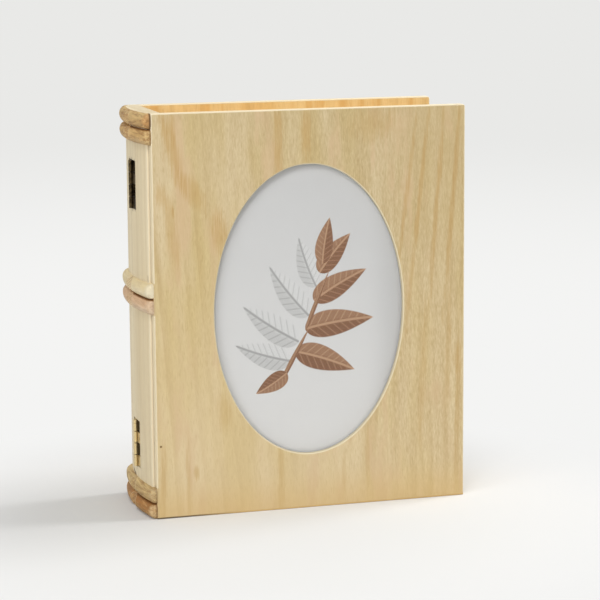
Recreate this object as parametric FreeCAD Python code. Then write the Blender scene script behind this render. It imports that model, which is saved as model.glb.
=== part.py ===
import FreeCAD, Part
import math
import os

# A keepsake box in the form of a closed book, sawn in two half-way through its depth.
# X runs from the spine to the fore-edge, Y from the front cover to the back, Z up from the tail.
# The origin is under the middle of the closed box, and all lengths are in millimetres.

Vector = FreeCAD.Vector
LID = -1
BASE = 1
SIDES = {"lid": LID, "base": BASE}

# The whole book
book_height = 254.0
book_depth = 73.2
saw_gap = 0.3
cut_overrun = 2.0

# Cover boards
cover_width = 203.2
cover_thickness = 6.0
cover_edge_radius = 0.5
cover_corner_radius = 1.8

# Oval opening in the front cover and the rabbet behind it
oval_spine_margin = 38.4
oval_fore_edge_margin = 41.2
oval_head_margin = 34.3
oval_tail_margin = 35.3
oval_edge_radius = 0.9
lip_thickness = 3.0
lip_width = 7.0
rabbet_corner_radius = 4.0

# Pane, picture card and backing board in the rabbet
rabbet_clearance = 0.3
pane_thickness = 1.2
card_thickness = 0.4

# Spine board, bowed between the covers
spine_inset = 7.0
spine_crest = 4.6
spine_shoulder = 1.5
shoulder_radius = 0.8

# Half-round raised bands, in pairs
band_width = 9.6
band_height = 4.0
band_gap = 0.3
band_root = 3.0
band_end_radius = 2.4
middle_pair_rise = 12.3
lid_band_relief_angle = 65.0
base_band_relief_angle = 50.0

# Walls of the two trays, set in from the edges of the covers
wall_thickness = 6.0
wall_recess = 8.0

# Butt hinges let into the sawn faces of the spine
hinge_length = 30.0
hinge_tail_inset = 41.6
hinge_head_inset = 46.6
knuckles_per_leaf = 2
knuckle_gap = 0.5
barrel_radius = 1.3
barrel_proud = 0.8
pin_radius = 0.6
pin_clearance = 0.05
leaf_width = 9.0
leaf_thickness = 0.8
leaf_cut_back = 1.2
mortise_clearance = 0.3
slot_depth = 2.4
lower_slot_reach = 8.0
upper_slot_reach = 9.0

# Countersunk screws of the hinges
hinge_screw_radius = 0.9
hinge_screw_head_radius = 1.7
hinge_screw_length = 8.0
hinge_screw_spacing = 18.0
hinge_screw_inset = 3.2
screw_clearance = 0.05

# Turn buttons that hold the backing board, and their screws
button_thickness = 1.2
button_pivot_radius = 4.0
button_tip_radius = 2.8
button_overlap = 5.5
button_inset = 39.0
button_bore_clearance = 0.05
button_screw_radius = 1.1
button_screw_head_radius = 2.3
button_screw_head_height = 1.3
button_screw_depth = 4.0

# Places that follow from the sizes above
x_right = (cover_width + spine_crest + band_height) / 2
x_left = x_right - cover_width
x_crest = x_left - spine_crest
x_spine_inside = x_left + spine_inset
x_wall_outside = x_right - wall_recess
x_wall_inside = x_wall_outside - wall_thickness
z_wall_bottom = wall_recess
z_wall_top = book_height - wall_recess
half_depth = book_depth / 2
half_gap = saw_gap / 2
inside_depth = half_depth - cover_thickness

# The bow of the spine is one arc through both shoulders and the crest
spine_sag = spine_crest - spine_shoulder
spine_radius = (inside_depth ** 2 + spine_sag ** 2) / (2 * spine_sag)
x_spine_centre = x_crest + spine_radius

# Hinge line, just proud of the crest; each hinge has its height and the reach of its slot
x_hinge = x_crest - barrel_proud
hinges = {
    "lower": (hinge_tail_inset, lower_slot_reach),
    "upper": (book_height - hinge_head_inset, upper_slot_reach),
}

# The oval keeps its margins to the edges of the cover, and the rabbet a lip around the oval
oval_width = cover_width - oval_spine_margin - oval_fore_edge_margin
oval_height = book_height - oval_head_margin - oval_tail_margin
oval_centre_height = oval_tail_margin + oval_height / 2
x_oval = x_left + oval_spine_margin + oval_width / 2
rabbet_width = oval_width + 2 * lip_width
rabbet_height = oval_height + 2 * lip_width
y_lip = -half_depth + lip_thickness
y_front_inside = -inside_depth

# Turn buttons pivot half-way across the land between the rabbet and the fore-edge wall
button_set_back = (x_wall_inside - x_oval - rabbet_width / 2) / 2
button_reach = button_set_back + button_overlap


def block(x_from, x_to, y_from, y_to, z_from, z_to):
    """Box between two opposite corners, in either order along each axis."""
    size = Vector(abs(x_to - x_from), abs(y_to - y_from), abs(z_to - z_from))
    corner = Vector(min(x_from, x_to), min(y_from, y_to), min(z_from, z_to))
    return Part.makeBox(size.x, size.y, size.z, corner)


def prism(points, z_from, z_to):
    """Upright prism over a polygon given by its X and Y points."""
    ring = [Vector(x, y, z_from) for x, y in points]
    outline = Part.makePolygon(ring + ring[:1])
    return Part.Face(outline).extrude(Vector(0, 0, z_to - z_from))


def rod(radius, x, z_from, z_to):
    """Upright cylinder on the plane of the saw cut."""
    return Part.makeCylinder(radius, z_to - z_from, Vector(x, 0, z_from))


def rounded_panel(width, height, y_from, y_to, corner_radius):
    """Upright panel centred on the oval, with rounded corners."""
    half_width = width / 2
    half_height = height / 2
    panel = block(x_oval - half_width, x_oval + half_width, y_from, y_to,
                  oval_centre_height - half_height, oval_centre_height + half_height)
    corners = [edge for edge in panel.Edges if edge.BoundBox.YLength > 0]
    return panel.makeFillet(corner_radius, corners)


def cover_blank(side):
    """Square-edged cover board."""
    return block(x_left, x_right, side * inside_depth, side * half_depth, 0, book_height)


def through_head_corner(edge):
    """True for an edge that runs through the board where the head meets the fore-edge."""
    box = edge.BoundBox
    return box.YLength > cover_edge_radius and box.XMin > x_oval and box.ZMin > oval_centre_height


def cover_board(side):
    """Cover board with one corner rounded, at the head of the fore-edge, and its other edges eased."""
    blank = cover_blank(side)
    board = blank.makeFillet(cover_corner_radius, [edge for edge in blank.Edges if through_head_corner(edge)])
    return board.makeFillet(cover_edge_radius, [edge for edge in board.Edges if not through_head_corner(edge)])


def back_cover():
    return cover_board(BASE)


def front_cover():
    """Cover board with the oval cut through it, the rabbet behind and pilot holes for the buttons."""
    centre = Vector(x_oval, -half_depth - cut_overrun, oval_centre_height)
    oval = Part.Ellipse(centre + Vector(0, 0, oval_height / 2), centre + Vector(oval_width / 2, 0, 0), centre)
    cutter = Part.Face(Part.Wire(oval.toShape())).extrude(Vector(0, book_depth, 0))
    board = cover_board(LID).cut(cutter)
    rims = [edge for edge in board.Edges if min(edge.BoundBox.XLength, edge.BoundBox.ZLength) > oval_width / 2]
    front_rims = [edge for edge in rims if edge.BoundBox.Center.y < y_lip]
    board = board.makeFillet(oval_edge_radius, front_rims)
    rabbet = rounded_panel(rabbet_width, rabbet_height, y_lip, y_front_inside + cut_overrun, rabbet_corner_radius)
    board = board.cut(rabbet)
    for x, z, way in button_places():
        hole = Part.makeCylinder(button_screw_radius + screw_clearance, button_screw_depth + cut_overrun,
                                 Vector(x, y_front_inside - button_screw_depth, z), Vector(0, 1, 0))
        board = board.cut(hole)
    return board


def rabbet_sheet(y_from, y_to):
    """Sheet that drops into the rabbet with a little room all round."""
    return rounded_panel(rabbet_width - 2 * rabbet_clearance, rabbet_height - 2 * rabbet_clearance,
                         y_from, y_to, rabbet_corner_radius)


def window_pane():
    return rabbet_sheet(y_lip, y_lip + pane_thickness)


def picture_card():
    return rabbet_sheet(y_lip + pane_thickness, y_lip + pane_thickness + card_thickness)


def backing_board():
    """Fills the rest of the rabbet, flush with the inside of the cover."""
    return rabbet_sheet(y_lip + pane_thickness + card_thickness, y_front_inside)


def button_places():
    """Pivot of each turn button and the way it points: two on each side of the rabbet."""
    places = []
    for way in (1, -1):
        x = x_oval - way * (rabbet_width / 2 + button_set_back)
        for step in (-1, 1):
            places.append((x, oval_centre_height + step * (rabbet_height / 2 - button_inset), way))
    return places


def turn_button(x, z, way):
    """Tapered plate with two round ends, joined by their common tangents, and a bore at its pivot."""
    lean = math.acos((button_pivot_radius - button_tip_radius) / button_reach)
    y = y_front_inside
    pivot = Vector(x, y, z)
    tip = Vector(x + way * button_reach, y, z)
    up = Vector(way * math.cos(lean), 0, math.sin(lean))
    down = Vector(way * math.cos(lean), 0, -math.sin(lean))
    outward = Vector(way, 0, 0)
    outline = Part.Wire([
        Part.Arc(pivot + up * button_pivot_radius, pivot - outward * button_pivot_radius,
                 pivot + down * button_pivot_radius).toShape(),
        Part.LineSegment(pivot + down * button_pivot_radius, tip + down * button_tip_radius).toShape(),
        Part.Arc(tip + down * button_tip_radius, tip + outward * button_tip_radius,
                 tip + up * button_tip_radius).toShape(),
        Part.LineSegment(tip + up * button_tip_radius, pivot + up * button_pivot_radius).toShape(),
    ])
    plate = Part.Face(outline).extrude(Vector(0, button_thickness, 0))
    bore = Part.makeCylinder(button_screw_radius + button_bore_clearance, book_depth,
                             Vector(x, -half_depth, z), Vector(0, 1, 0))
    return plate.cut(bore)


def button_screw(x, z):
    """Domed screw: its shank ends on the floor of the pilot hole, its head on the button."""
    y_floor = y_front_inside - button_screw_depth
    y_head = y_front_inside + button_thickness
    inward = Vector(0, 1, 0)
    shank = Part.makeCylinder(button_screw_radius, y_head - y_floor, Vector(x, y_floor, z), inward)
    dome_radius = (button_screw_head_radius ** 2 + button_screw_head_height ** 2) / (2 * button_screw_head_height)
    dome_centre = Vector(x, y_head + button_screw_head_height - dome_radius, z)
    head = Part.makeCylinder(button_screw_head_radius, button_screw_head_height, Vector(x, y_head, z), inward)
    return shank.fuse(head.common(Part.makeSphere(dome_radius, dome_centre))).removeSplitter()


def turn_button_screws():
    return Part.makeCompound([button_screw(x, z) for x, z, way in button_places()])


def spine_surface_x(y):
    """Place of the bowed outer face of the spine at a given depth."""
    return x_spine_centre - math.sqrt(spine_radius ** 2 - y ** 2)


def spine_blank(side):
    """Half of the bowed spine board, from the saw cut to the cover."""
    y_cut = side * half_gap
    y_cover = side * inside_depth
    y_middle = (y_cut + y_cover) / 2
    at_cut = Vector(spine_surface_x(y_cut), y_cut, 0)
    at_middle = Vector(spine_surface_x(y_middle), y_middle, 0)
    at_cover = Vector(spine_surface_x(y_cover), y_cover, 0)
    inside_cover = Vector(x_spine_inside, y_cover, 0)
    inside_cut = Vector(x_spine_inside, y_cut, 0)
    outline = Part.Wire([
        Part.Arc(at_cut, at_middle, at_cover).toShape(),
        Part.LineSegment(at_cover, inside_cover).toShape(),
        Part.LineSegment(inside_cover, inside_cut).toShape(),
        Part.LineSegment(inside_cut, at_cut).toShape(),
    ])
    return Part.Face(outline).extrude(Vector(0, 0, book_height))


def spine_half(side):
    """Spine half with its shoulder rounded, the hinges let in and the screw holes drilled."""
    half = spine_blank(side)
    y_cover = side * inside_depth
    shoulders = [edge for edge in half.Edges
                 if edge.BoundBox.ZLength > half_depth and edge.BoundBox.XMax < x_left
                 and abs(edge.BoundBox.Center.y) > abs(y_cover) / 2]
    half = half.makeFillet(shoulder_radius, shoulders)
    for z_centre, slot_reach in hinges.values():
        half = half.cut(hinge_mortise(side, z_centre, slot_reach))
        for x, z in hinge_screw_places(z_centre):
            y_seat = side * (half_gap + hinge_screw_length)
            hole = Part.makeCylinder(hinge_screw_radius + screw_clearance, hinge_screw_length,
                                     Vector(x, y_seat, z), Vector(0, -side, 0))
            half = half.cut(hole)
    return half


def knuckle_spans(side, z_centre):
    """Bottom and top of each knuckle of one leaf; the leaves take turns, the lid's first from below."""
    count = 2 * knuckles_per_leaf
    pitch = (hinge_length + knuckle_gap) / count
    first = 0 if side == LID else 1
    bottom = z_centre - hinge_length / 2
    spans = []
    for place in range(first, count, 2):
        start = bottom + place * pitch
        spans.append((start, start + pitch - knuckle_gap))
    return spans


def hinge_mortise(side, z_centre, slot_reach):
    """Shallow recess for the leaf, a groove for the barrel and a wider slot that bares the knuckles."""
    z_from = z_centre - hinge_length / 2
    z_to = z_centre + hinge_length / 2
    y_floor = side * (half_gap + leaf_thickness)
    recess = block(x_crest - cut_overrun, x_hinge + leaf_width, 0, y_floor, z_from, z_to)
    groove = rod(barrel_radius + mortise_clearance, x_hinge, z_from - mortise_clearance, z_to + mortise_clearance)
    slot = block(x_crest - cut_overrun, x_crest + slot_depth, 0, side * slot_reach,
                 z_from - mortise_clearance, z_to + mortise_clearance)
    return recess.fuse(groove).fuse(slot)


def hinge_screw_places(z_centre):
    """Two screws in each leaf, set in from its free edge."""
    x = x_hinge + leaf_width - hinge_screw_inset
    return [(x, z_centre - hinge_screw_spacing / 2), (x, z_centre + hinge_screw_spacing / 2)]


def hinge_leaf(side, z_centre):
    """Plate flush with the sawn face, cut back past the facing knuckles, with its own rolled knuckles."""
    z_from = z_centre - hinge_length / 2
    z_to = z_centre + hinge_length / 2
    y_face = side * half_gap
    y_back = side * (half_gap + leaf_thickness)
    leaf = block(x_hinge, x_hinge + leaf_width, y_face, y_back, z_from, z_to)
    x_clear = x_hinge + barrel_radius + leaf_cut_back
    for start, end in knuckle_spans(-side, z_centre):
        notch = block(x_hinge - cut_overrun, x_clear, -book_depth, book_depth, start - knuckle_gap, end + knuckle_gap)
        leaf = leaf.cut(notch)
    bore_radius = pin_radius if side == BASE else pin_radius + pin_clearance
    for start, end in knuckle_spans(side, z_centre):
        leaf = leaf.fuse(rod(barrel_radius, x_hinge, start, end))
    leaf = leaf.cut(rod(bore_radius, x_hinge, z_from - cut_overrun, z_to + cut_overrun))
    for x, z in hinge_screw_places(z_centre):
        leaf = leaf.cut(screw_body(side, x, z, screw_clearance))
    return leaf.removeSplitter()


def screw_body(side, x, z, room):
    """Countersunk head that fills the thickness of the leaf, on a plain shank, with room around it."""
    y_face = side * half_gap
    into = Vector(0, side, 0)
    head = Part.makeCone(hinge_screw_head_radius + room, hinge_screw_radius + room, leaf_thickness,
                         Vector(x, y_face, z), into)
    shank = Part.makeCylinder(hinge_screw_radius + room, hinge_screw_length, Vector(x, y_face, z), into)
    return head.fuse(shank)


def hinge_screws(side):
    screws = []
    for z_centre, slot_reach in hinges.values():
        screws += [screw_body(side, x, z, 0).removeSplitter() for x, z in hinge_screw_places(z_centre)]
    return Part.makeCompound(screws)


def hinge_pin(z_centre):
    return rod(pin_radius, x_hinge, z_centre - hinge_length / 2, z_centre + hinge_length / 2)


def band_heights():
    """Height of the middle of each band: a pair at the tail, one above the middle and one at the head."""
    pitch = band_width + band_gap
    tail = band_width / 2
    head = book_height - band_width / 2
    middle = book_height / 2 + middle_pair_rise
    return {
        "tail_lower": tail,
        "tail_upper": tail + pitch,
        "middle_lower": middle - pitch / 2,
        "middle_upper": middle + pitch / 2,
        "head_lower": head - pitch,
        "head_upper": head,
    }


def band_half(side, z):
    """Half-round stick bent round the spine, seated on it and on the cover's edge, relieved at the cut."""
    half_width = band_width / 2
    x_root = x_crest + band_root
    low = z - half_width
    high = z + half_width
    section = Part.Wire([
        Part.Arc(Vector(x_crest, 0, low), Vector(x_crest - band_height, 0, z), Vector(x_crest, 0, high)).toShape(),
        Part.LineSegment(Vector(x_crest, 0, high), Vector(x_root, 0, high)).toShape(),
        Part.LineSegment(Vector(x_root, 0, high), Vector(x_root, 0, low)).toShape(),
        Part.LineSegment(Vector(x_root, 0, low), Vector(x_crest, 0, low)).toShape(),
    ])
    sweep = math.degrees(math.asin((half_depth + cut_overrun) / (spine_radius - band_root)))
    stick = Part.Face(section).revolve(Vector(x_spine_centre, 0, 0), Vector(0, 0, 1), -side * sweep)
    between = block(x_crest - book_depth, x_right, side * half_gap, side * half_depth, 0, book_height)
    stick = stick.common(between)
    stick = stick.cut(spine_blank(side)).cut(cover_blank(side))
    stick = stick.cut(band_relief(side, low - cut_overrun, high + cut_overrun))
    ends = [edge for edge in stick.Edges
            if edge.BoundBox.YLength < cut_overrun and edge.BoundBox.ZLength > half_width
            and abs(edge.BoundBox.Center.y) > inside_depth + cover_thickness / 2
            and edge.BoundBox.XMin < x_left - spine_shoulder]
    return stick.makeFillet(band_end_radius, ends)


def band_relief(side, low, high):
    """Wedge with its corner on the crest, which lets the halves swing past each other."""
    angle = math.radians(lid_band_relief_angle if side == LID else base_band_relief_angle)
    reach = band_height + cut_overrun
    return prism([(x_crest, 0), (x_crest - reach, side * reach * math.tan(angle)), (x_crest - reach, 0)], low, high)


def wall_half(side, x_from, x_to, z_from, z_to):
    """Half of a tray wall, from the saw cut to the cover."""
    return block(x_from, x_to, side * half_gap, side * inside_depth, z_from, z_to)


def wall_halves(side):
    """Head and tail walls run past the ends of the fore-edge wall."""
    z_low = z_wall_bottom + wall_thickness
    z_high = z_wall_top - wall_thickness
    return {
        "tail_wall": wall_half(side, x_spine_inside, x_wall_outside, z_wall_bottom, z_low),
        "head_wall": wall_half(side, x_spine_inside, x_wall_outside, z_high, z_wall_top),
        "fore_edge_wall": wall_half(side, x_wall_inside, x_wall_outside, z_low, z_high),
    }


def all_nodes():
    """Every piece under the name of its node."""
    nodes = {
        "front_cover": front_cover(),
        "back_cover": back_cover(),
        "window_pane": window_pane(),
        "picture_card": picture_card(),
        "backing_board": backing_board(),
        "turn_button_screws": turn_button_screws(),
    }
    for number, (x, z, way) in enumerate(button_places(), 1):
        nodes["turn_button_%d" % number] = turn_button(x, z, way)
    for hinge, (z_centre, slot_reach) in hinges.items():
        nodes["hinge_pin_%s" % hinge] = hinge_pin(z_centre)
    for name, side in SIDES.items():
        nodes["spine_%s" % name] = spine_half(side)
        nodes["hinge_screws_%s" % name] = hinge_screws(side)
        for hinge, (z_centre, slot_reach) in hinges.items():
            nodes["hinge_leaf_%s_%s" % (hinge, name)] = hinge_leaf(side, z_centre)
        for band, z in band_heights().items():
            nodes["band_%s_%s" % (band, name)] = band_half(side, z)
        for wall, shape in wall_halves(side).items():
            nodes["%s_%s" % (wall, name)] = shape
    return nodes


os.makedirs("parts", exist_ok=True)
for node, shape in all_nodes().items():
    shape.exportStep("parts/%s.step" % node)
    print(node, "valid" if shape.isValid() else "INVALID", len(shape.Solids), round(shape.Volume, 1))
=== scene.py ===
import math
import bmesh
import bpy
import numpy as np
from mathutils import Matrix, Vector


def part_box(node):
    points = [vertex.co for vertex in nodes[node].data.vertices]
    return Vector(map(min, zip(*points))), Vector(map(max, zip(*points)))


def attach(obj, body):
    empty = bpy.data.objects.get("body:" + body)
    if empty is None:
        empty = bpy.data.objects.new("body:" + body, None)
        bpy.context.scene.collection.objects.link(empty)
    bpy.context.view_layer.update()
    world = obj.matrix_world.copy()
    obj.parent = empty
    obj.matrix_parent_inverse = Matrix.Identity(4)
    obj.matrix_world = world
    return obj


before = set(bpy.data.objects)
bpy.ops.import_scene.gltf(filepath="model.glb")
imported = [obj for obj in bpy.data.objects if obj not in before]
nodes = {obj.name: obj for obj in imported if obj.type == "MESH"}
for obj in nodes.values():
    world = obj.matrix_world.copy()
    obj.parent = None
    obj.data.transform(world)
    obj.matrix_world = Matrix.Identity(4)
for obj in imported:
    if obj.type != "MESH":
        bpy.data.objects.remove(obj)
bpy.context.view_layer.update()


# Cover boards: two thin boards of pale softwood, planed and sanded but left bare, with the grain
# upright and every arris eased by hand. The front one has the oval sawn out of it and its rim
# rounded over; both are glued to the spine and the walls.

def add(tree, kind, inputs=None, **settings):
    """Put one node into a tree; each input is a plain value or the socket that feeds it."""
    node = tree.nodes.new("ShaderNode" + kind)
    for name, value in settings.items():
        setattr(node, name, value)
    for name, value in (inputs or {}).items():
        if isinstance(value, bpy.types.NodeSocket):
            tree.links.new(value, node.inputs[name])
        else:
            node.inputs[name].default_value = value
    return node


def calc(tree, operation, *values):
    """One sum on numbers or sockets."""
    return add(tree, "Math", dict(enumerate(values)), operation=operation).outputs[0]


def product(tree, first, *others):
    """All the given numbers or sockets multiplied together."""
    for other in others:
        first = calc(tree, "MULTIPLY", first, other)
    return first


def vector_calc(tree, operation, *values):
    """One sum on vectors; a length or a distance comes back as a number."""
    node = add(tree, "VectorMath", dict(enumerate(values)), operation=operation)
    return node.outputs["Value" if operation in ("LENGTH", "DISTANCE") else "Vector"]


def split(tree, place):
    """The X, Y and Z of a vector."""
    return add(tree, "SeparateXYZ", {0: place}).outputs


def fade(tree, value, low, high):
    """Rise smoothly from 0 at low to 1 at high."""
    ramp = add(tree, "MapRange", {"Value": value, "From Min": low, "From Max": high},
               interpolation_type="SMOOTHSTEP")
    return ramp.outputs["Result"]


def between(tree, value, rise_from, rise_to, fall_from, fall_to):
    """Rise smoothly from 0 to 1 over the first two limits and fall back over the last two."""
    return product(tree, fade(tree, value, rise_from, rise_to), fade(tree, value, fall_to, fall_from))


def blend(tree, factor, first, second, kind="MIX"):
    """Mix two colours by a factor."""
    mix = add(tree, "Mix", {0: factor, 6: first, 7: second}, data_type="RGBA", blend_type=kind)
    return mix.outputs[2]


def speckle(tree, place, stretch, detail=2.0, roughness=0.5):
    """Noise between 0 and 1 whose grains are 1 / stretch metres long on each axis."""
    spread = vector_calc(tree, "MULTIPLY", place, stretch)
    noise = add(tree, "TexNoise", {
        "Vector": spread, "Scale": 1.0, "Detail": detail, "Roughness": roughness})
    return noise.outputs[0]


def new_group(name, inputs, outputs):
    """Empty shader node group with named sockets; returns the tree, its inputs and its outputs."""
    tree = bpy.data.node_groups.new(name, "ShaderNodeTree")
    for label, kind, value in inputs:
        socket = tree.interface.new_socket(label, in_out="INPUT", socket_type="NodeSocket" + kind)
        if value is not None:
            socket.default_value = value
    for label, kind in outputs:
        tree.interface.new_socket(label, in_out="OUTPUT", socket_type="NodeSocket" + kind)
    given = tree.nodes.new("NodeGroupInput").outputs
    result = tree.nodes.new("NodeGroupOutput").inputs
    return tree, given, result


def use_group(tree, group, inputs):
    """Put a node group into a tree; returns its outputs."""
    return add(tree, "Group", inputs, node_tree=group).outputs


def new_material(name):
    """Principled material; returns it, its tree, its shader and the object coordinates."""
    material = bpy.data.materials.new(name)
    material.use_nodes = True
    tree = material.node_tree
    shader = tree.nodes["Principled BSDF"]
    place = add(tree, "TexCoord").outputs["Object"]
    return material, tree, shader, place


def turned(tree, place, shift=(0, 0, 0), turn=(0, 0, 0)):
    """Object coordinates shifted in metres and turned in degrees, so that grain runs along Z."""
    angles = tuple(math.radians(angle) for angle in turn)
    return add(tree, "Mapping", {
        "Vector": place, "Location": shift, "Rotation": angles}).outputs[0]


def dress(material, *names):
    """Give a material to every slot of the named nodes."""
    for name in names:
        for slot in nodes[name].material_slots:
            slot.material = material


def make_wood_grain():
    """Solid wood around a pith line along Z. The distance from the pith and a wander, divided by the
    ring pitch, count the rings, and dark late wood fills the end of each count. A broad warm stain,
    fine fibres and short dark flecks are noise drawn out along Z."""
    tree, given, result = new_group("wood_grain", [
        ("Vector", "Vector", None), ("Ring Pitch", "Float", 0.009), ("Wander", "Float", 0.012),
        ("Ring Depth", "Float", 0.5), ("Stain Depth", "Float", 0.6), ("Fibre Depth", "Float", 0.2),
        ("Fleck Depth", "Float", 0.3), ("Pale", "Color", (0.66, 0.53, 0.3, 1)),
        ("Warm", "Color", (0.6, 0.42, 0.18, 1)), ("Dark", "Color", (0.42, 0.26, 0.1, 1))],
        [("Color", "Color"), ("Height", "Float"), ("Dullness", "Float")])
    place = given["Vector"]
    from_pith = vector_calc(tree, "LENGTH", vector_calc(tree, "MULTIPLY", place, (1, 1, 0)))
    wander = calc(tree, "SUBTRACT", speckle(tree, place, (14, 14, 4)), 0.5)
    wavy = calc(tree, "MULTIPLY_ADD", wander, given["Wander"], from_pith)
    count = calc(tree, "DIVIDE", wavy, given["Ring Pitch"])
    phase = calc(tree, "FRACT", count)
    late_wood = between(tree, phase, 0.35, 0.9, 0.9, 1.0)
    each_ring = add(tree, "TexWhiteNoise", {"W": calc(tree, "FLOOR", count)},
                    noise_dimensions="1D").outputs["Value"]
    patchy = fade(tree, speckle(tree, place, (30, 30, 9)), 0.3, 0.65)
    ring = product(tree, late_wood, patchy, each_ring)
    stain_and_slot_shade = fade(tree, speckle(tree, place, (38, 38, 6), 3.0, 0.55), 0.36, 0.68)
    short_fibre = speckle(tree, place, (1500, 1500, 230), 2.0, 0.6)
    long_fibre = speckle(tree, place, (260, 260, 7), 4.0, 0.62)
    fibre = calc(tree, "ADD", short_fibre, calc(tree, "MULTIPLY_ADD", long_fibre, 0.8, -0.9))
    fleck = fade(tree, speckle(tree, place, (1300, 1300, 170), 1.0), 0.56, 0.74)
    tone = blend(tree, product(tree, stain_and_slot_shade, given["Stain Depth"]), given["Pale"], given["Warm"])
    tone = blend(tree, product(tree, ring, given["Ring Depth"]), tone, given["Dark"])
    tone = blend(tree, product(tree, fleck, given["Fleck Depth"]), tone, given["Dark"])
    depth = product(tree, fibre, given["Fibre Depth"])
    shade = [calc(tree, "MULTIPLY_ADD", depth, share, 1.0) for share in (0.75, 1.0, 1.35)]
    shade = add(tree, "CombineXYZ", dict(enumerate(shade))).outputs[0]
    tree.links.new(blend(tree, 1.0, tone, shade, "MULTIPLY"), result["Color"])
    tree.links.new(calc(tree, "SUBTRACT", fibre, fleck), result["Height"])
    tree.links.new(calc(tree, "MULTIPLY_ADD", fibre, 0.25, 0.62), result["Dullness"])
    return tree


def make_eased_edges():
    """How near a point lies to the arrises of a square-edged piece and to its thin edges: the second
    smallest distance to the piece's sides gives the arris, and the distance to the two narrow pairs
    of sides gives the edge."""
    tree, given, result = new_group("eased_edges", [
        ("Vector", "Vector", None), ("Low Corner", "Vector", (0, 0, 0)),
        ("High Corner", "Vector", (1, 1, 1)), ("Reach", "Float", 0.0009)],
        [("Arris", "Float"), ("Edge", "Float")])
    place, reach = given["Vector"], given["Reach"]
    over_low = vector_calc(tree, "SUBTRACT", place, given["Low Corner"])
    under_high = vector_calc(tree, "SUBTRACT", given["High Corner"], place)
    inset = split(tree, vector_calc(tree, "MINIMUM", over_low, under_high))
    thin = calc(tree, "MINIMUM", inset["X"], inset["Z"])
    wide = calc(tree, "MAXIMUM", inset["X"], inset["Z"])
    second = calc(tree, "MAXIMUM", thin, calc(tree, "MINIMUM", wide, inset["Y"]))
    rubbed = product(tree, speckle(tree, place, (180, 180, 180), 3.0), reach)
    tree.links.new(fade(tree, second, reach, rubbed), result["Arris"])
    tree.links.new(fade(tree, thin, 0.0005, 0.0002), result["Edge"])
    return tree


def make_streak():
    """A streak of colour in the wood: a long soft spot that leans sideways as it rises, the sum of
    the squared shares of its half width and half length, with noise to make its sides ragged."""
    tree, given, result = new_group("streak", [
        ("Vector", "Vector", None), ("Across", "Float", 0.0), ("Along", "Float", 0.1),
        ("Lean", "Float", 0.0), ("Half Width", "Float", 0.003), ("Half Length", "Float", 0.03),
        ("Strength", "Float", 0.5)], [("Mask", "Float")])
    place = given["Vector"]
    axes = split(tree, place)
    rise = calc(tree, "SUBTRACT", axes["Z"], given["Along"])
    aside = calc(tree, "SUBTRACT", axes["X"], given["Across"])
    aside = calc(tree, "SUBTRACT", aside, product(tree, rise, given["Lean"]))
    squares = [calc(tree, "POWER", calc(tree, "DIVIDE", way, given[half]), 2.0)
               for way, half in ((aside, "Half Width"), (rise, "Half Length"))]
    ragged = speckle(tree, place, (620, 620, 16), 4.0, 0.65)
    frayed = speckle(tree, place, (1500, 1500, 70), 2.0, 0.6)
    uneven = calc(tree, "MULTIPLY_ADD", frayed, 4.0, -3.3)
    uneven = calc(tree, "MULTIPLY_ADD", ragged, 2.6, uneven)
    spot = calc(tree, "ADD", calc(tree, "ADD", *squares), uneven)
    tree.links.new(product(tree, fade(tree, spot, 1.7, -0.4), given["Strength"]), result["Mask"])
    return tree


wood_grain, eased_edges, streak = make_wood_grain(), make_eased_edges(), make_streak()


def wood_material(name, shift, turn, **depths):
    """Bare sanded wood: the grain group feeds colour, roughness and a fine bump."""
    material, tree, shader, place = new_material(name)
    grain = use_group(tree, wood_grain, {"Vector": turned(tree, place, shift, turn), **depths})
    tree.links.new(grain["Color"], shader.inputs["Base Color"])
    tree.links.new(grain["Dullness"], shader.inputs["Roughness"])
    bump = add(tree, "Bump", {"Height": grain["Height"], "Strength": 0.25, "Distance": 0.0002})
    tree.links.new(bump.outputs[0], shader.inputs["Normal"])
    shader.inputs["Specular IOR Level"].default_value = 0.3
    return material


def overlay(material, marks):
    """Lay the colours that a function of tree and place lists over a material, each by its mask."""
    tree = material.node_tree
    shader = tree.nodes["Principled BSDF"]
    tone = shader.inputs["Base Color"].links[0].from_socket
    place = add(tree, "TexCoord").outputs["Object"]
    for mask, colour in marks(tree, place):
        tone = blend(tree, mask, tone, colour)
    tree.links.new(tone, shader.inputs["Base Color"])


def flat_distance(tree, place, centre, kept):
    """Distance from a point, counted only along the axes that are kept."""
    away = vector_calc(tree, "SUBTRACT", place, centre)
    return vector_calc(tree, "LENGTH", vector_calc(tree, "MULTIPLY", away, kept))


front_wood = wood_material("front_cover_wood", (-0.02, 0.09, 0.0), (4, 2, 0), **{
    "Ring Pitch": 0.0085, "Ring Depth": 0.5, "Stain Depth": 0.85, "Fleck Depth": 0.3,
    "Pale": (0.672, 0.540, 0.330, 1), "Warm": (0.590, 0.450, 0.205, 1),
    "Dark": (0.440, 0.285, 0.110, 1)})
back_wood = wood_material("back_cover_wood", (0.03, -0.08, 0.0), (-3, 3, 40), **{
    "Ring Pitch": 0.0085, "Ring Depth": 0.45, "Stain Depth": 0.6, "Fibre Depth": 0.22,
    "Fleck Depth": 0.22, "Pale": (0.763, 0.537, 0.245, 1), "Warm": (0.700, 0.423, 0.141, 1),
    "Dark": (0.480, 0.265, 0.075, 1)})
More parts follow.
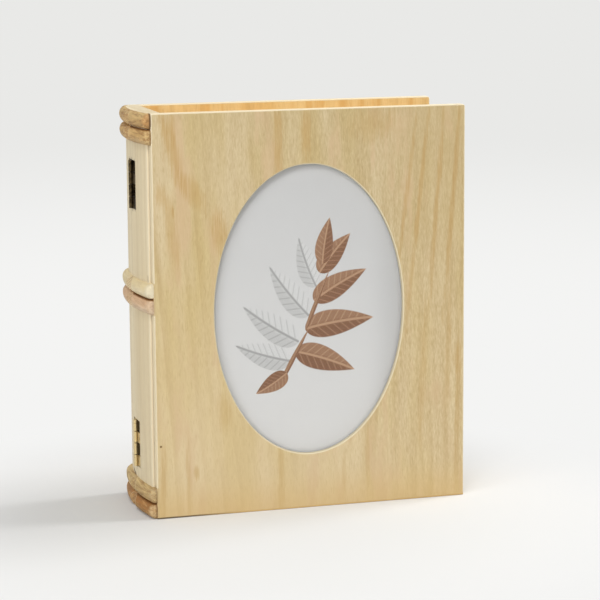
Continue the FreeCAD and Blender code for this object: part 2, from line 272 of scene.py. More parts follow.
# Millimetres across and along the board, lean, half width, half length and strength of each streak.
front_streaks = [
    (-84.5, 232, -0.26, 4.0, 26, 0.60), (-74, 207, -0.60, 7.0, 13, 0.50),
    (-92, 203, -0.1, 3.0, 9, 0.45), (-85, 180, -0.12, 4.0, 24, 0.40),
    (-17, 236, 0.0, 3.2, 25, 0.60), (1, 241, 0.0, 3.2, 17, 0.60),
    (-55.5, 179, -0.1, 5.5, 14, 0.60), (75, 190, 0.106, 1.5, 75, 0.60),
    (87, 190, 0.077, 1.6, 70, 0.60), (97.5, 190, 0.078, 1.6, 70, 0.60),
    (78, 82, 0.04, 2.3, 45, 0.40), (101.4, 55, 0.01, 1.7, 60, 0.45),
    (95, 95, 0.03, 2.0, 40, 0.35), (101.5, 92, 0.0, 3.0, 10, 0.50),
    (-93.5, 20, 0.05, 2.2, 28, 0.50), (-77, 20, 0.0, 1.8, 34, 0.35),
    (-17, 18, 0.0, 2.4, 28, 0.40), (-54, 65, 0.0, 5.0, 12, 0.35),
    (45, 245, 0.3, 15.0, 12, 0.35), (-71.7, 28, 0.0, 1.7, 4.5, 0.50),
    (-84.3, 192.8, 0.0, 0.8, 4, 0.70), (66, 190, 0.13, 1.5, 60, 0.55),
    (40.6, 30, 0.0, 1.5, 20, 0.35), (24.8, 20, 0.0, 1.4, 16, 0.30),
    (-84.6, 246, -0.05, 2.6, 12, 0.50), (-89, 241, 0.0, 1.8, 15, 0.35)]
streak_brown = (0.500, 0.305, 0.100, 1)
oval_centre, oval_half = (0.0029, 0.1275), (0.0618, 0.0922)
knot_place = (-0.0945, 0, 0.0464)
# Edge and arris colours: paler sanded wood with a painted highlight on it.
pale_edge_and_highlight, pale_arris_and_highlight = (0.780, 0.665, 0.450, 1), (0.760, 0.655, 0.455, 1)
# Painted shade in the joints between the covers and the spine.
joint_shadow = (0.560, 0.470, 0.330, 1)


def cover_edges(tree, place, name, inner_side):
    """Edges and arrises of a cover, paler and with a painted highlight, and painted shade in the
    joint with the spine.
    """
    low, high = [list(corner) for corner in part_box(name)]
    near = use_group(tree, eased_edges, {"Vector": place, "Low Corner": low, "High Corner": high})
    axes = split(tree, place)
    inner = high[1] if inner_side > 0 else low[1]
    depth = calc(tree, "ABSOLUTE", calc(tree, "SUBTRACT", axes["Y"], inner))
    joint = product(tree, fade(tree, depth, 0.0009, 0.0003),
                    fade(tree, axes["X"], low[0] + 0.0012, low[0] + 0.0006))
    return [(near["Edge"], pale_edge_and_highlight), (near["Arris"], pale_arris_and_highlight), (joint, joint_shadow)]


def outside_oval(tree, axes):
    """Distance beyond the rim of the oval along the line from its centre: the distance from the
    centre, less that distance divided by its share of the oval's half sizes."""
    away = [calc(tree, "SUBTRACT", axes[axis], centre) for axis, centre in zip("XZ", oval_centre)]
    shares = [calc(tree, "DIVIDE", way, half) for way, half in zip(away, oval_half)]
    reach, share = [
        vector_calc(tree, "LENGTH", add(tree, "CombineXYZ", dict(enumerate(pair))).outputs[0])
        for pair in (away, shares)]
    return calc(tree, "SUBTRACT", reach, calc(tree, "DIVIDE", reach, share))


def front_marks(tree, place):
    """Slow changes of tone and streaks, then the pale edges with their painted highlight, the left
    edge painted darker beside the tail and middle bands where that highlight is left out, the warm
    foot with a line along its edge that is painted contact shade towards the spine, a painted
    highlight on the rounded rim of the oval, and a small knot."""
    axes = split(tree, place)
    climb = calc(tree, "MULTIPLY_ADD", axes["X"], 0.6, axes["Z"])
    rosy = fade(tree, speckle(tree, place, (55, 55, 12), 3.0, 0.6), 0.50, 0.66)
    masks = [(product(tree, fade(tree, climb, 0.06, 0.30), 0.5), (0.480, 0.365, 0.185, 1)),
             (product(tree, fade(tree, climb, 0.12, -0.02), 0.4), (0.760, 0.600, 0.360, 1)),
             (product(tree, rosy, 0.6), (0.640, 0.455, 0.270, 1)),
             (product(tree, fade(tree, axes["X"], 0.03, 0.10), 0.25), (0.600, 0.440, 0.205, 1))]
    for across, along, lean, half_width, half_length, strength in front_streaks:
        drawn = use_group(tree, streak, {
            "Vector": place, "Across": across / 1000, "Along": along / 1000, "Lean": lean,
            "Half Width": half_width / 1000, "Half Length": half_length / 1000,
            "Strength": strength})
        masks.append((drawn["Mask"], streak_brown))
    masks += cover_edges(tree, place, "front_cover", 1)
    # The cover's left edge is painted darker beside the tail and middle bands, so that the painted
    # edge highlight is left out there.
    beside_tail = fade(tree, axes["Z"], 0.0206, 0.0194)
    beside_middle = between(tree, axes["Z"], 0.1288, 0.1300, 0.1488, 0.1500)
    banded = calc(tree, "MAXIMUM", beside_tail, beside_middle)
    banded = product(tree, banded, fade(tree, axes["X"], -0.0958, -0.0964))
    masks.append((banded, (0.590, 0.450, 0.240, 1)))
    warm_foot = product(tree, fade(tree, axes["Z"], 0.028, 0.0), 0.5)
    masks.append((warm_foot, (0.672, 0.460, 0.195, 1)))
    # Along the bottom edge: painted contact shade towards the spine, and a warm line farther right.
    foot_raggedness = speckle(tree, place, (60, 60, 900), 3.0, 0.6)
    foot = calc(tree, "MULTIPLY_ADD", foot_raggedness, -0.0008, axes["Z"])
    foot_shade_and_warm_edge = blend(tree, fade(tree, axes["X"], -0.085, -0.035),
                 (0.150, 0.105, 0.055, 1), (0.640, 0.430, 0.180, 1))
    masks.append((fade(tree, foot, 0.0009, 0.0003), foot_shade_and_warm_edge))
    # A painted highlight on the rounded rim of the oval.
    rim = fade(tree, outside_oval(tree, axes), 0.0009, 0.0004)
    masks.append((rim, (0.770, 0.670, 0.460, 1)))
    knot = fade(tree, flat_distance(tree, place, knot_place, (1, 0, 1)), 0.0010, 0.0004)
    masks.append((knot, (0.200, 0.110, 0.035, 1)))
    return masks


def back_marks(tree, place):
    """Upright orange bands in the back board, then its pale edges."""
    band = fade(tree, speckle(tree, place, (110, 110, 4), 3.0, 0.6), 0.52, 0.66)
    orange = [(product(tree, band, 0.6), (0.660, 0.365, 0.105, 1))]
    return orange + cover_edges(tree, place, "back_cover", -1)


overlay(front_wood, front_marks)
overlay(back_wood, back_marks)
# The fibres of the front board stand out more towards its head and fore-edge.
tree = front_wood.node_tree
axes = split(tree, add(tree, "TexCoord").outputs["Object"])
lively = fade(tree, calc(tree, "MULTIPLY_ADD", axes["X"], 1.6, axes["Z"]), 0.03, 0.30)
grain = next(node for node in tree.nodes if node.type == "GROUP" and node.node_tree == wood_grain)
tree.links.new(calc(tree, "MULTIPLY_ADD", lively, 0.75, 0.35), grain.inputs["Fibre Depth"])
dress(front_wood, "front_cover")
dress(back_wood, "back_cover")


# Window: a clear pane drops into the rabbet behind the oval, with a printed card behind it and a
# hardboard back that keeps both flat. None of them is glued, so that the card can be changed.

glass, tree, shader, place = new_material("clear_pane")
smear = fade(tree, speckle(tree, place, (60, 60, 35), 4.0, 0.6), 0.45, 0.8)
tree.links.new(calc(tree, "MULTIPLY_ADD", smear, 0.02, 0.005), shader.inputs["Roughness"])
shader.inputs["Transmission Weight"].default_value = 1.0
shader.inputs["IOR"].default_value = 1.46
through = add(tree, "BsdfTransparent")
path = add(tree, "LightPath").outputs
passes = calc(tree, "MAXIMUM", path["Is Shadow Ray"], path["Is Diffuse Ray"])
lit = add(tree, "MixShader", {0: passes, 1: shader.outputs[0], 2: through.outputs[0]})
tree.links.new(lit.outputs[0], tree.nodes["Material Output"].inputs["Surface"])
dress(glass, "window_pane")


def make_leaf_print():
    """One printed leaf: with u along its length and v across it, the outline is the square root of u
    times 1 less u, bent a little to one side; the midrib and slanting side veins are lines in it."""
    tree, given, result = new_group("leaf_print", [
        ("Vector", "Vector", None), ("Foot", "Vector", (0, 0, 0)), ("Turn", "Float", 0.0),
        ("Length", "Float", 0.04), ("Half Width", "Float", 0.008)],
        [("Mask", "Float"), ("Shade", "Float")])
    local = vector_calc(tree, "SUBTRACT", given["Vector"], given["Foot"])
    local = add(tree, "VectorRotate", {"Vector": local, "Angle": given["Turn"]},
                rotation_type="Y_AXIS").outputs[0]
    axes = split(tree, local)
    u = calc(tree, "DIVIDE", axes["X"], given["Length"])
    v = calc(tree, "DIVIDE", axes["Z"], given["Half Width"])
    bent = calc(tree, "ADD", v, calc(tree, "MULTIPLY_ADD", product(tree, u, u), 0.5, -0.12))
    aside = calc(tree, "ABSOLUTE", bent)
    half = product(tree, calc(tree, "SQRT", calc(tree, "MAXIMUM", u, 0.0)),
                   calc(tree, "MULTIPLY_ADD", u, -2.6, 2.6))
    inside = fade(tree, calc(tree, "SUBTRACT", half, aside), 0.0, 0.09)
    mask = product(tree, inside, calc(tree, "GREATER_THAN", u, 0.0))
    tree.links.new(mask, result["Mask"])
    slant = product(tree, calc(tree, "MULTIPLY_ADD", aside, -0.16, u), 9.0)
    from_vein = calc(tree, "SUBTRACT", calc(tree, "FRACT", slant), 0.5)
    veins = fade(tree, calc(tree, "ABSOLUTE", from_vein), 0.16, 0.02)
    shade = calc(tree, "MAXIMUM", fade(tree, aside, 0.13, 0.03), product(tree, veins, 0.45))
    shade = calc(tree, "ADD", shade, product(tree, fade(tree, bent, -0.1, 0.3), 0.4))
    tree.links.new(shade, result["Shade"])
    return tree


card, tree, shader, place = new_material("printed_card")
axes = split(tree, place)
foot_white, head_grey = (0.895, 0.890, 0.875, 1), (0.765, 0.765, 0.760, 1)
side_reflection_grey = (0.560, 0.560, 0.555, 1)
tone = blend(tree, fade(tree, axes["Z"], 0.03, 0.23), foot_white, head_grey)
# Grey towards the right side of the card: a painted reflection from the pane.
tone = blend(tree, product(tree, fade(tree, axes["X"], 0.040, 0.066), 0.5), tone, side_reflection_grey)
tooth = calc(tree, "MULTIPLY_ADD", speckle(tree, place, (2500, 2500, 2500)), 0.05, 0.975)
tooth = add(tree, "CombineXYZ", {0: tooth, 1: tooth, 2: tooth}).outputs[0]
tone = blend(tree, 1.0, tone, tooth, "MULTIPLY")
leaf_print = make_leaf_print()
tan_leaf = ((0.300, 0.130, 0.055, 1), (0.620, 0.370, 0.210, 1))
grey_leaf = ((0.830, 0.830, 0.820, 1), (0.470, 0.470, 0.460, 1))
# Foot across and up in millimetres, turn in degrees, length and half width in millimetres, colours.
printed_leaves = [
    (-9, 96, 168, 38, 8.5, grey_leaf), (-3, 108, 152, 44, 9.0, grey_leaf),
    (4, 124, 134, 42, 8.5, grey_leaf), (9, 142, 116, 34, 7.5, grey_leaf),
    (-6, 100, -14, 42, 8.5, tan_leaf), (1, 114, 12, 46, 9.0, tan_leaf),
    (7, 132, 34, 40, 8.0, tan_leaf), (11, 150, 56, 32, 7.0, tan_leaf),
    (-15, 82, 62, 40, 1.6, tan_leaf), (1, 114, 68, 42, 1.5, tan_leaf),
    (13, 156, 86, 30, 6.0, tan_leaf), (-12, 88, 218, 24, 6.0, tan_leaf)]
for across, up, turn, length, half_width, colours in printed_leaves:
    leaf = use_group(tree, leaf_print, {
        "Vector": place, "Foot": (across / 1000, 0, up / 1000), "Turn": math.radians(turn),
        "Length": length / 1000, "Half Width": half_width / 1000})
    tone = blend(tree, leaf["Mask"], tone, blend(tree, leaf["Shade"], *colours))
tree.links.new(tone, shader.inputs["Base Color"])
shader.inputs["Roughness"].default_value = 0.5
dress(card, "picture_card")

hardboard, tree, shader, place = new_material("hardboard")
lint = speckle(tree, place, (700, 700, 700), 4.0, 0.7)
tone = blend(tree, fade(tree, lint, 0.3, 0.7), (0.17, 0.095, 0.045, 1), (0.32, 0.195, 0.10, 1))
tree.links.new(tone, shader.inputs["Base Color"])
bump = add(tree, "Bump", {"Height": lint, "Strength": 0.3, "Distance": 0.0003})
tree.links.new(bump.outputs[0], shader.inputs["Normal"])
shader.inputs["Roughness"].default_value = 0.75
dress(hardboard, "backing_board")


# Turn buttons: four small plates of stamped brass inside the lid, each on a domed brass screw in
# the front cover. They swing over the edge of the hardboard and hold it in.

def brass_material(name, bright, dull, tarnish):
    """Plated brass: brushed streaks along Z, and a dull tarnish in patches."""
    material, tree, shader, place = new_material(name)
    brushed = speckle(tree, place, (2500, 2500, 220))
    patch = fade(tree, speckle(tree, place, (260, 260, 260), 3.0, 0.6),
                 0.62 - 0.4 * tarnish, 0.78 - 0.3 * tarnish)
    dullness = calc(tree, "MULTIPLY_ADD", brushed, 0.2, 0.36 + 0.2 * tarnish)
    tree.links.new(blend(tree, patch, bright, dull), shader.inputs["Base Color"])
    tree.links.new(dullness, shader.inputs["Roughness"])
    bump = add(tree, "Bump", {"Height": brushed, "Strength": 0.1, "Distance": 0.0001})
    tree.links.new(bump.outputs[0], shader.inputs["Normal"])
    shader.inputs["Metallic"].default_value = 1.0
    return material


button_brass = brass_material("button_brass", (0.76, 0.57, 0.26, 1), (0.42, 0.29, 0.12, 1), 0.3)
dress(button_brass, "turn_button_1", "turn_button_2", "turn_button_3", "turn_button_4",
      "turn_button_screws")


# Walls of the two trays: plain strips of the same bare wood, sawn through with the box. They are
# glued inside the covers and set back from their edges, as the pages of a book are.

upright_wall = wood_material("fore_edge_wood", (0.05, 0.12, 0.0), (2, 1, 0), **{
    "Ring Depth": 0.4, "Pale": (0.680, 0.530, 0.290, 1), "Warm": (0.610, 0.420, 0.180, 1)})
level_wall = wood_material("head_and_tail_wood", (0.0, 0.1, 0.06), (0, 90, 0), **{
    "Ring Depth": 0.4, "Pale": (0.690, 0.545, 0.310, 1), "Warm": (0.620, 0.430, 0.190, 1)})
dress(upright_wall, "fore_edge_wall_lid", "fore_edge_wall_base")
dress(level_wall, "head_wall_lid", "head_wall_base", "tail_wall_lid", "tail_wall_base")


# Spine: a thicker board of the palest wood, planed to a bow and glued between the covers. It was
# sawn through along its crest, and slots were chopped across the cut for the two hinges.

spine_wood = wood_material("spine_wood", (0.16, 0.05, 0.0), (1, 3, 15), **{
    "Ring Pitch": 0.006, "Ring Depth": 0.3, "Stain Depth": 0.4, "Fibre Depth": 0.2,
    "Fleck Depth": 0.12, "Pale": (0.715, 0.612, 0.416, 1), "Warm": (0.642, 0.498, 0.281, 1),
    "Dark": (0.470, 0.330, 0.160, 1)})
# Bottom, top and reach to each side of a hinge's slot.
hinge_slots = {"lower": (0.0266, 0.0566, 0.008), "upper": (0.1924, 0.2224, 0.009)}
# How far the wood is torn beyond the ends of a slot, and the colour of the leaf that shows in it.
slot_looks = {"lower": (0.0003, (0.640, 0.500, 0.260, 1)),
              "upper": (0.0022, (0.030, 0.019, 0.008, 1))}
# Near-black colours painted as shade: the slot's floor and the torn splinters beyond its ends.
slot_shade, torn_shade = (0.020, 0.012, 0.005, 1), (0.030, 0.019, 0.008, 1)


def slot_marks(tree, place, axes, outside, name):
    """One hinge slot: painted shade on the wood beside it, its floor painted near black as shade with
    the leaf's own knuckles in metal, and torn splinters beyond its ends painted near black as shade
    in their hollows. All of it stays on the outside of the spine."""
    bottom, top, reach = hinge_slots[name]
    torn, plated = slot_looks[name]
    side = calc(tree, "ABSOLUTE", axes["Y"])
    height = between(tree, axes["Z"], bottom - 0.0006, bottom, top, top + 0.0006)
    # Painted shade on the wood beside the slot.
    stain_and_slot_shade = between(tree, axes["Y"], 0.0, reach, reach + 0.0010, reach + 0.0026)
    stain_and_slot_shade = product(tree, height, stain_and_slot_shade, outside, 0.8)
    floor = product(tree, height, fade(tree, side, reach + 0.0003, reach),
                    fade(tree, axes["X"], -0.1013, -0.1009), outside)
    rise = calc(tree, "SUBTRACT", axes["Z"], bottom)
    turn = calc(tree, "FRACT", calc(tree, "DIVIDE", rise, (top - bottom) / 2))
    own = product(tree, fade(tree, turn, 0.50, 0.47),
                  fade(tree, side, reach - 0.0004, reach - 0.0012))
    beyond = calc(tree, "MAXIMUM", calc(tree, "SUBTRACT", axes["Z"], top),
                  calc(tree, "SUBTRACT", bottom, axes["Z"]))
    splinters = fade(tree, speckle(tree, place, (0, 900, 0), 2.0, 0.6), 0.46, 0.66)
    spikes = fade(tree, calc(tree, "MULTIPLY_ADD", splinters, -torn, beyond), 0.0002, -0.0002)
    spikes = product(tree, spikes, fade(tree, side, reach, reach - 0.0008), outside)
    return [(stain_and_slot_shade, (0.200, 0.140, 0.075, 1)), (floor, blend(tree, own, slot_shade, plated)),
            (spikes, torn_shade)]


def spine_marks(tree, place):
    """The half beyond the crest painted paler as painted light, fine upright lines, a painted
    highlight on the shoulders and painted shade in the joint at their foot, a painted shadow of a gap
    above the tail bands, a sliver above the middle ones, and the slots."""
    axes = split(tree, place)
    side = calc(tree, "ABSOLUTE", axes["Y"])
    outside = fade(tree, axes["X"], -0.0992, -0.0995)
    at_cover = fade(tree, axes["X"], -0.0960, -0.0965)
    # Painted light: the half beyond the crest is painted paler.
    lit_far_half = product(tree, fade(tree, axes["Y"], -0.012, 0.006), outside, 0.85)
    fine = fade(tree, speckle(tree, place, (1100, 1100, 3), 2.0, 0.6), 0.46, 0.64)
    broad = fade(tree, speckle(tree, place, (0, 330, 3), 2.0, 0.6), 0.50, 0.60)
    drawn = calc(tree, "MAXIMUM", product(tree, fine, 0.3), product(tree, broad, 0.35))
    # Painted highlight along the shoulders beside the covers.
    shoulder_highlight = product(tree, fade(tree, side, 0.0282, 0.0293), at_cover, 0.65)
    # Painted shade in the joint at the foot of the shoulders.
    joint_shade = product(tree, fade(tree, side, 0.0300, 0.0304), fade(tree, axes["X"], -0.0979, -0.0975))
    # Painted shadow of a gap above the tail bands, a thin dark slash.
    gap_shadow_above_tail = calc(tree, "MULTIPLY_ADD", axes["Y"], 0.22, 0.0184)
    gap_shadow_above_tail = calc(tree, "ABSOLUTE", calc(tree, "SUBTRACT", axes["Z"], gap_shadow_above_tail))
    gap_shadow_above_tail = product(tree, fade(tree, gap_shadow_above_tail, 0.0010, 0.0004),
                    between(tree, axes["Y"], 0.003, 0.005, 0.013, 0.017), outside)
    sliver = calc(tree, "ABSOLUTE", calc(tree, "ADD", axes["Y"], 0.0290))
    sliver = product(tree, fade(tree, sliver, 0.0005, 0.0002),
                     between(tree, axes["Z"], 0.1490, 0.1500, 0.1526, 0.1546), at_cover)
    masks = [(lit_far_half, (0.800, 0.692, 0.480, 1)), (drawn, (0.560, 0.440, 0.265, 1)),
             (shoulder_highlight, (0.790, 0.690, 0.500, 1)), (joint_shade, joint_shadow),
             (gap_shadow_above_tail, (0.100, 0.060, 0.025, 1)), (sliver, (0.240, 0.150, 0.070, 1))]
    for name in hinge_slots:
        masks += slot_marks(tree, place, axes, outside, name)
    return masks


overlay(spine_wood, spine_marks)
dress(spine_wood, "spine_lid", "spine_base")


# Raised bands: half-round sticks of a coarser, browner wood, steamed round the spine in pairs and
# cut off flush with the covers. The saw left a notch between the two halves of each band.

# For each band: its two colours, the colours of the side away from its twin, partly painted light
# and shade, and of its front end, how much of the end's colour shows, how marked its grain is, how
# dark the painted shade at its root is, and the height in millimetres of the gap to its twin.
band_looks = {
    "tail_lower": dict(
        pale=(0.475, 0.270, 0.090), warm=(0.370, 0.155, 0.036), far=(0.400, 0.245, 0.095),
        end=(0.640, 0.460, 0.240), end_share=0.8, marked=1.0, root_shade=0.3, gap_height=9.75),
    "tail_upper": dict(
        pale=(0.560, 0.400, 0.170), warm=(0.450, 0.290, 0.115), far=(0.570, 0.425, 0.200),
        end=(0.500, 0.375, 0.215), end_share=0.5, marked=1.15, root_shade=0.2, gap_height=9.75),
    "middle_lower": dict(
        pale=(0.650, 0.460, 0.285), warm=(0.610, 0.345, 0.190), far=(0.690, 0.570, 0.400),
        end=(0.620, 0.470, 0.320), end_share=0.6, marked=0.5, root_shade=0.1, gap_height=139.3),
    "middle_upper": dict(
        pale=(0.760, 0.660, 0.455), warm=(0.690, 0.570, 0.330), far=(0.680, 0.550, 0.300),
        end=(0.760, 0.680, 0.500), end_share=0.7, marked=0.3, root_shade=0.0, gap_height=139.3),
    "head_lower": dict(
        pale=(0.550, 0.350, 0.135), warm=(0.460, 0.270, 0.100), far=(0.520, 0.360, 0.175),
        end=(0.580, 0.420, 0.205), end_share=0.4, marked=1.2, root_shade=0.3, gap_height=244.25),
    "head_upper": dict(
        pale=(0.530, 0.340, 0.135), warm=(0.420, 0.235, 0.085), far=(0.610, 0.440, 0.195),
        end=(0.460, 0.220, 0.075), end_share=0.7, marked=1.2, root_shade=0.6, gap_height=244.25)}
crest_x = -0.1019
lid_lean, base_lean = math.tan(math.radians(65)), math.tan(math.radians(50))


def notch_marks(tree, place, axes):
    """The sawn faces of the notch, which lean out from the crest by the relief of each half: a
    darker wood, a pale arris beside it and crossed saw scores. Returns their three masks."""
    proud = calc(tree, "SUBTRACT", crest_x, axes["X"])
    on_lid = calc(tree, "LESS_THAN", axes["Y"], 0.0)
    lean = calc(tree, "MULTIPLY_ADD", on_lid, lid_lean - base_lean, base_lean)
    notch = calc(tree, "SUBTRACT", calc(tree, "ABSOLUTE", axes["Y"]), product(tree, proud, lean))
    sawn = fade(tree, calc(tree, "ABSOLUTE", notch), 0.0005, 0.0002)
    arris = calc(tree, "ABSOLUTE", calc(tree, "SUBTRACT", notch, 0.0010))
    arris = product(tree, fade(tree, arris, 0.0006, 0.0003), 0.5)
    strokes = [add(tree, "TexWave", {
        "Vector": turned(tree, place, turn=(angle, 0, 0)), "Scale": scale, "Distortion": 1.5},
        bands_direction="Y").outputs["Fac"] for angle, scale in ((45, 320.0), (-45, 260.0))]
    scores = product(tree, sawn, product(tree, *strokes), 0.6)
    return product(tree, sawn, 0.5), arris, scores


def band_marks(tree, place, look):
    """The far side, partly painted light and shade, the paler front end, smeared and rubbed grain,
    the sawn notch, and painted shade in the gap to the twin, at the root and in the seam at the front
    end."""
    axes = split(tree, place)
    ragged = speckle(tree, place, (900, 260, 900), 3.0, 0.6)
    gap = calc(tree, "ABSOLUTE", calc(tree, "SUBTRACT", axes["Z"], look["gap_height"] / 1000))
    gap = calc(tree, "ADD", gap, calc(tree, "MULTIPLY_ADD", ragged, 0.0010, -0.0005))
    # The side away from the twin takes its far colour: partly the band's tone, partly painted light
    # and shade.
    away = product(tree, fade(tree, gap, 0.0035, 0.0075), 0.7)
    # Painted shade in the gap to the twin.
    gap_shade = product(tree, fade(tree, gap, 0.0012, 0.0005), fade(tree, axes["Y"], 0.010, -0.004))
    sawn, arris, scores = notch_marks(tree, place, axes)
    tip = calc(tree, "ADD", axes["Y"], calc(tree, "MULTIPLY_ADD", ragged, 0.0080, 0.0286))
    tip = product(tree, fade(tree, tip, 0.0015, -0.0030), look["end_share"])
    # Painted shade at the root and in the seam at the front end.
    root = product(tree, fade(tree, axes["X"], -0.0980, -0.0975), look["root_shade"])
    seam = product(tree, fade(tree, axes["X"], -0.0988, -0.0981),
                   fade(tree, axes["Y"], -0.0335, -0.0350), min(0.9, 1.5 * look["root_shade"]))
    root = calc(tree, "MAXIMUM", root, seam)
    smears = fade(tree, speckle(tree, place, (620, 45, 620), 4.0, 0.65), 0.44, 0.64)
    smears = product(tree, smears, 0.8 * look["marked"])
    rubbed = fade(tree, speckle(tree, place, (500, 40, 540), 4.0, 0.65), 0.50, 0.68)
    rubbed = product(tree, rubbed, 0.65 * look["marked"])
    smear_colour, rub_colour = [
        tuple(part * share for part, share in zip(look["pale"], shares))
        for shares in ((0.62, 0.52, 0.48), (1.26, 1.30, 1.40))]
    return [(away, (*look["far"], 1)), (tip, (*look["end"], 1)), (sawn, (0.450, 0.320, 0.180, 1)),
            (smears, (*smear_colour, 1)), (rubbed, (*rub_colour, 1)),
            (arris, (0.690, 0.530, 0.290, 1)), (scores, (0.230, 0.160, 0.095, 1)),
            (gap_shade, (0.260, 0.115, 0.030, 1)), (root, (0.130, 0.070, 0.028, 1))]


for number, (name, look) in enumerate(band_looks.items()):
    band_wood = wood_material(name + "_band_wood", (0.1, 0.011 * number, 0.003), (90, 0, 0), **{
        "Ring Pitch": 0.0021, "Wander": 0.006, "Ring Depth": 0.4 * look["marked"],
        "Stain Depth": 0.95, "Fibre Depth": 0.5 * look["marked"],
        "Fleck Depth": 0.2 * look["marked"], "Pale": (*look["pale"], 1),
        "Warm": (*look["warm"], 1), "Dark": (0.240, 0.125, 0.036, 1)})
    overlay(band_wood, lambda tree, place: band_marks(tree, place, look))
    dress(band_wood, "band_%s_lid" % name, "band_%s_base" % name)


# Hinges: two small brass butt hinges screwed into the sawn faces of the spine, their barrels just
# proud of the crest. The upper one is near black, the lower one bright. A short brass root
# leads each knuckle into the slot on its own leaf's side.

bright_brass = brass_material(
    "bright_hinge_brass", (0.78, 0.62, 0.33, 1), (0.45, 0.32, 0.14, 1), 0.1)
dark_brass = brass_material(
    "dark_hinge_brass", (0.12, 0.085, 0.04, 1), (0.03, 0.02, 0.01, 1), 0.6)
root_brass = brass_material(
    "hinge_root_brass", (0.700, 0.540, 0.270, 1), (0.460, 0.330, 0.150, 1), 0.4)
barrel_axis = (-0.1027, 0, 0)
bow_radius = 0.1526
knuckle_pitch, knuckle_length, knuckle_margin = 0.0075, 0.0069, 0.0003
root_start, root_end_gap = 0.00135, 0.0003
root_sink, root_floor = 0.0002, -0.09955


def knuckle_shade(tree, place):
    """Painted shade on the part of a leaf that lies just outside the barrel's circle."""
    off_axis = flat_distance(tree, place, barrel_axis, (1, 1, 0))
    near = between(tree, off_axis, 0.00135, 0.0015, 0.0036, 0.0042)
    return [(product(tree, near, 0.75), (0.060, 0.036, 0.012, 1))]


overlay(bright_brass, knuckle_shade)
dress(bright_brass, "hinge_leaf_lower_lid", "hinge_leaf_lower_base", "hinge_screws_lid",
      "hinge_screws_base")
dress(dark_brass, "hinge_leaf_upper_lid", "hinge_leaf_upper_base")


def ring_mesh(name, points):
    """Mesh over a grid of points, one quad between each four neighbours, with the last row joined
    to the first."""
    rows, columns = points.shape[:2]
    index = np.arange(rows * columns).reshape(rows, columns)
    index = np.vstack([index, index[:1]])
    quads = np.stack([index[:-1, :-1], index[1:, :-1], index[1:, 1:], index[:-1, 1:]], axis=-1)
    mesh = bpy.data.meshes.new(name)
    mesh.from_pydata(points.reshape(-1, 3).tolist(), [], quads.reshape(-1, 4).tolist())
    mesh.polygons.foreach_set("use_smooth", np.ones(len(mesh.polygons), bool))
    mesh.update()
    made = bpy.data.objects.new(name, mesh)
    bpy.context.scene.collection.objects.link(made)
    return made


def close_ends(piece):
    """Join the points that meet at the ends of a piece and turn all its faces outwards."""
    shell = bmesh.new()
    shell.from_mesh(piece.data)
    bmesh.ops.remove_doubles(shell, verts=shell.verts, dist=1e-7)
    bmesh.ops.recalc_face_normals(shell, faces=shell.faces)
    shell.to_mesh(piece.data)
    shell.free()


def root_points(side, low, high, reach):
    """A bar along the bow of the spine, from beside the barrel to the end of the slot: at each step
    along Y its section is a squared-off oval in X and Z, which shrinks to a point at both ends."""
    steps = np.array([0, 0, 0.01, 0.03, 0.25, 0.5, 0.75, 0.97, 0.99, 1, 1])
    size = np.array([0, 0.90, 0.97, 1, 1, 1, 1, 1, 0.97, 0.90, 0])
    aside = root_start + steps * (reach - root_end_gap - root_start)
    face = crest_x + bow_radius - np.sqrt(bow_radius ** 2 - aside ** 2) + root_sink
    angle = np.linspace(0, 2 * math.pi, 64, endpoint=False)[:, None]
    squareness = 0.22
    across, up = [np.sign(wave) * np.abs(wave) ** squareness
                  for wave in (np.cos(angle), np.sin(angle))]
    x = (face + root_floor) / 2 + (root_floor - face) / 2 * size * across
    z = (low + high) / 2 + (high - low) / 2 * size * up
    return np.stack([x, np.broadcast_to(side * aside, x.shape), z], axis=-1)


for name, brass in (("lower", root_brass), ("upper", dark_brass)):
    bottom, _, reach = hinge_slots[name]
    for step in range(4):
        body, side = (("lid", -1), ("base", 1))[step % 2]
        low = bottom + knuckle_pitch * step + knuckle_margin
        root = ring_mesh("hinge_root_%s_%d" % (name, step + 1),
                         root_points(side, low, low + knuckle_length, reach))
        close_ends(root)
        root.data.materials.append(brass)
        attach(root, body)

# The pin is painted near black, so that the gaps between the knuckles show as painted shade.
pin_steel, tree, shader, place = new_material("pin_steel")
drawn = speckle(tree, place, (3000, 3000, 150))
tone = blend(tree, drawn, (0.035, 0.030, 0.025, 1), (0.090, 0.080, 0.070, 1))
tree.links.new(tone, shader.inputs["Base Color"])
tree.links.new(calc(tree, "MULTIPLY_ADD", drawn, 0.2, 0.25), shader.inputs["Roughness"])
shader.inputs["Metallic"].default_value = 1.0
dress(pin_steel, "hinge_pin_lower", "hinge_pin_upper")


# Studio: a pale round paper sweep that fades to an even white away from the box. Soft boxes stand
# above on the right, above in front on the left and far on the left, in white light all round.

def sweep_points(flat_radius, bend_radius, wall_height):
    """A profile turned about Z: a flat disc, a quarter circle and a short upright wall."""
    bend = np.linspace(0, math.pi / 2, 24)
    edge = flat_radius + bend_radius
    out = np.concatenate([[0, 0.5 * flat_radius], flat_radius + bend_radius * np.sin(bend), [edge]])
    up = np.concatenate([[0, 0], bend_radius * (1 - np.cos(bend)), [bend_radius + wall_height]])
    around = np.linspace(0, 2 * math.pi, 96, endpoint=False)[:, None]
    return np.stack([out * np.cos(around), out * np.sin(around),
                     np.broadcast_to(up, (len(around), len(up)))], axis=-1)


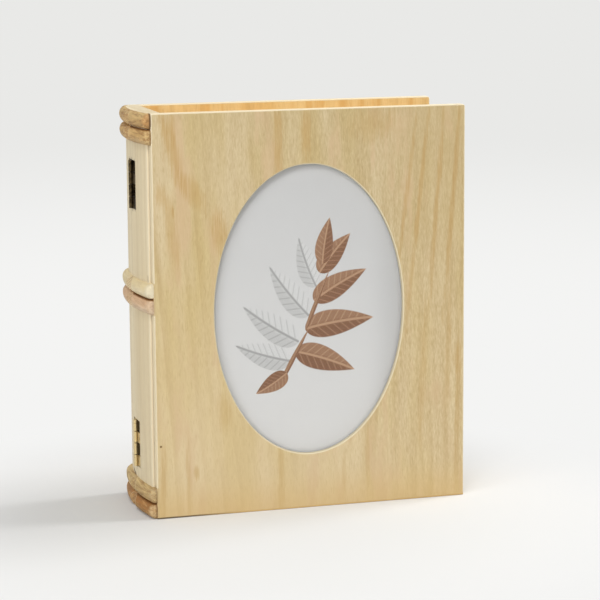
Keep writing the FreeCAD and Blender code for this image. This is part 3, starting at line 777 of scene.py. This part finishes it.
floor = ring_mesh("studio_sweep", sweep_points(2.4, 0.8, 0.2))
close_ends(floor)
sweep_paper, tree, shader, place = new_material("sweep_paper")
mottle = calc(tree, "MULTIPLY_ADD", speckle(tree, place, (3, 3, 3)), 0.02, 0.72)
paper = add(tree, "CombineXYZ", {0: mottle, 1: mottle, 2: product(tree, mottle, 0.985)}).outputs[0]
tree.links.new(paper, shader.inputs["Base Color"])
shader.inputs["Roughness"].default_value = 0.9
shader.inputs["Specular IOR Level"].default_value = 0.1
path = add(tree, "LightPath").outputs
shaded_centre = (-0.03, -0.06, 0)
near_white, far_white = (0.905, 0.905, 0.895, 1), (0.815, 0.815, 0.800, 1)
distance = vector_calc(tree, "DISTANCE", place, shaded_centre)
mirrored = calc(tree, "MAXIMUM", path["Is Glossy Ray"], path["Is Transmission Ray"])
seen = calc(tree, "MAXIMUM", path["Is Camera Ray"], mirrored)
away = fade(tree, distance, 0.13, 0.30)
glow = add(tree, "Emission", {
    "Color": blend(tree, fade(tree, distance, 0.7, 2.6), near_white, far_white)})
even = add(tree, "MixShader", {
    0: product(tree, seen, away), 1: shader.outputs[0], 2: glow.outputs[0]})
tree.links.new(even.outputs[0], tree.nodes["Material Output"].inputs["Surface"])
floor.data.materials.append(sweep_paper)

world = bpy.data.worlds.new("studio_light")
bpy.context.scene.world = world
world.use_nodes = True
surround = world.node_tree.nodes["Background"].inputs
surround["Color"].default_value = (1.0, 1.0, 1.0, 1)
surround["Strength"].default_value = 0.465


def soft_lamp(name, stands, faces, size, watts):
    """Square soft box of white light at one point, turned towards another."""
    data = bpy.data.lights.new(name, "AREA")
    data.shape, data.size, data.size_y, data.energy = "RECTANGLE", size, size, watts
    lamp = bpy.data.objects.new(name, data)
    lamp.location = stands
    towards = Vector(faces) - Vector(stands)
    lamp.rotation_euler = towards.to_track_quat("-Z", "Y").to_euler()
    bpy.context.scene.collection.objects.link(lamp)


soft_lamp("key_above_right", (0.75, 0.0, 0.95), (0, 0, 0.12), 0.45, 8.9)
soft_lamp("front_above_left", (-0.50, -1.10, 1.25), (0, 0, 0.10), 0.45, 8.3)
soft_lamp("fill_left", (-1.30, -0.95, 0.75), (0, 0, 0.10), 0.8, 9.3)

scene = bpy.context.scene
scene.view_settings.view_transform = "Standard"


# Camera: a little above and to the left of the box, on a long lens, level enough to see along the
# top of the boards. Its place, turn and lens were fitted to the straight edges of the box.

azimuth, pitch, roll = 0.2814, 0.16798, -0.00731
camera_stands = (-0.39121, -1.37727, 0.37098)
focal_pixels, picture_pixels = 2255.86, 600
forward = np.array([math.sin(azimuth) * math.cos(pitch), math.cos(azimuth) * math.cos(pitch),
                    -math.sin(pitch)])
level = np.array([math.cos(azimuth), -math.sin(azimuth), 0.0])
above = np.cross(level, forward)
right = level * math.cos(roll) + above * math.sin(roll)
up = above * math.cos(roll) - level * math.sin(roll)
lens = bpy.data.cameras.new("photo_camera")
lens.sensor_width = 36.0
lens.lens = focal_pixels * lens.sensor_width / picture_pixels
camera = bpy.data.objects.new("photo_camera", lens)
camera.matrix_world = Matrix([
    [right[i], up[i], -forward[i], camera_stands[i]] for i in range(3)] + [[0, 0, 0, 1]])
scene.collection.objects.link(camera)
scene.camera = camera
